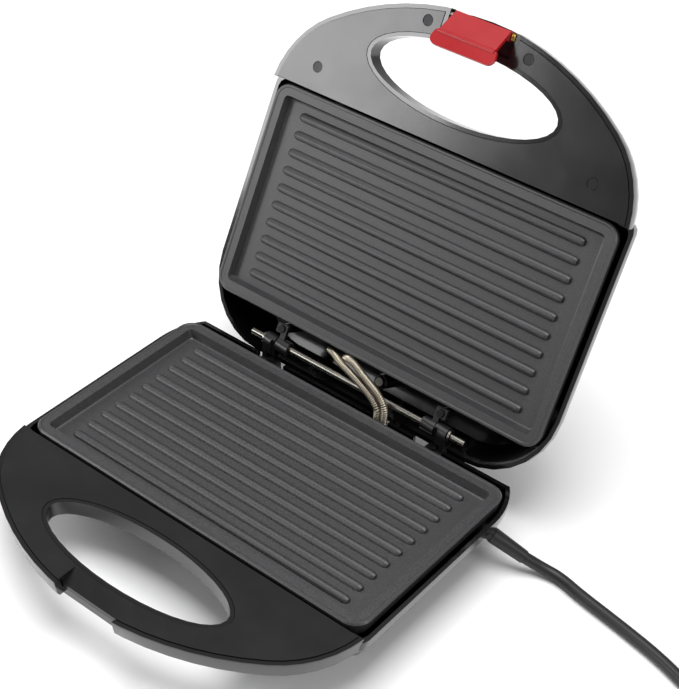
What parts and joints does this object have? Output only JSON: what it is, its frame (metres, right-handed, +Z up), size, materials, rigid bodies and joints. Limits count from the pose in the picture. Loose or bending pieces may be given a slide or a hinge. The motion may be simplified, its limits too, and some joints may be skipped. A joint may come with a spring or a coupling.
{
  "type": "panini press",
  "caption": "Clamshell sandwich press standing open, with ribbed grill plates, looped handles, a latch on the lid, a floating hinge and a coiled cord with a plug.",
  "frame": {"origin": "under the middle of the open press at the level of its feet, cord left out", "axes": "+Z up, +X towards the side where the cord lies, -Y towards the handles in use (front), +Y towards the hinge"},
  "size_m": [0.4606, 0.3284, 0.2394],
  "materials": {
    "gloss_black": "moulded gloss black",
    "satin_black": "satin black",
    "nonstick": "dark grey non-stick coating on cast aluminium",
    "tin": "thin plated sheet",
    "steel": "plain steel",
    "black_steel": "black satin paint",
    "black_zinc": "black plated screw",
    "spring_steel": "close-wound spring wire",
    "brassy": "yellow plated spring wire",
    "ceramic": "off-white moulding",
    "red": "satin red",
    "green_lens": "translucent green",
    "amber_lens": "translucent amber",
    "rubber": "matt black",
    "cord_black": "matt black sleeve",
    "blade": "nickel-plated brass"
  },
  "bodies": {
    "base": {"base_shell": "gloss_black", "base_handle_cover": "satin_black", "base_cover_screw_1": "black_zinc", "base_cover_screw_2": "black_zinc", "base_cover_screw_3": "black_zinc", "base_cover_screw_4": "black_zinc", "lower_grill_plate": "nonstick", "lower_heat_shield": "tin", "lower_heating_element": "steel", "thermostat": "ceramic", "thermal_fuse": "tin", "terminal_block": "ceramic", "foot_1": "rubber", "foot_2": "rubber", "foot_3": "rubber", "foot_4": "rubber", "base_hinge_bracket_left": "black_steel", "base_hinge_bracket_right": "black_steel", "base_hinge_screw_left": "black_zinc", "base_hinge_screw_right": "black_zinc", "strain_relief": "cord_black", "power_cord": "cord_black", "cord_coil": "cord_black", "cord_tail": "cord_black", "plug_body": "satin_black", "plug_blade_left": "blade", "plug_blade_right": "blade"},
    "rod": {"hinge_rod": "steel", "rod_clip_left": "steel", "rod_clip_right": "steel"},
    "lid": {"lid_shell": "gloss_black", "lid_handle_cover": "gloss_black", "upper_grill_plate": "nonstick", "upper_heat_shield": "tin", "upper_heating_element": "steel", "lid_stud_screw": "steel", "latch_pin": "steel", "lid_hinge_knuckle_left": "black_steel", "lid_hinge_knuckle_right": "black_steel", "lid_cover_screw_1": "black_zinc", "lid_cover_screw_2": "black_zinc", "lid_cover_screw_3": "black_zinc", "lid_cover_screw_4": "black_zinc", "lid_hinge_screw_left": "black_zinc", "lid_hinge_screw_right": "black_zinc", "ready_lens": "green_lens", "power_lens": "amber_lens", "latch_spring": "brassy", "conduit_inner": "spring_steel", "conduit_outer": "spring_steel"},
    "latch": {"latch": "red"}
  },
  "joints": [
    {"name": "hinge_float", "type": "slide", "parent": "base", "child": "rod", "axis": [0, 0, 1], "range_m": [-0.005, 0]},
    {"name": "lid_hinge", "type": "hinge", "parent": "rod", "child": "lid", "pos_m": [0, 0.05445, 0.0443], "axis": [1, 0, 0], "range_deg": [0, 116.6], "deforming": ["conduit_inner", "conduit_outer"]},
    {"name": "latch_pivot", "type": "hinge", "parent": "lid", "child": "latch", "pos_m": [0, 0.15383, 0.23561], "axis": [1, 0, 0], "range_deg": [-75, 0]}
  ],
  "couplings": [
    {"joint": "hinge_float", "follows": "lid_hinge", "m_per_rad": -0.002455},
    {"joint": "latch_pivot", "follows": "lid_hinge", "ratio": -0.5}
  ]
}
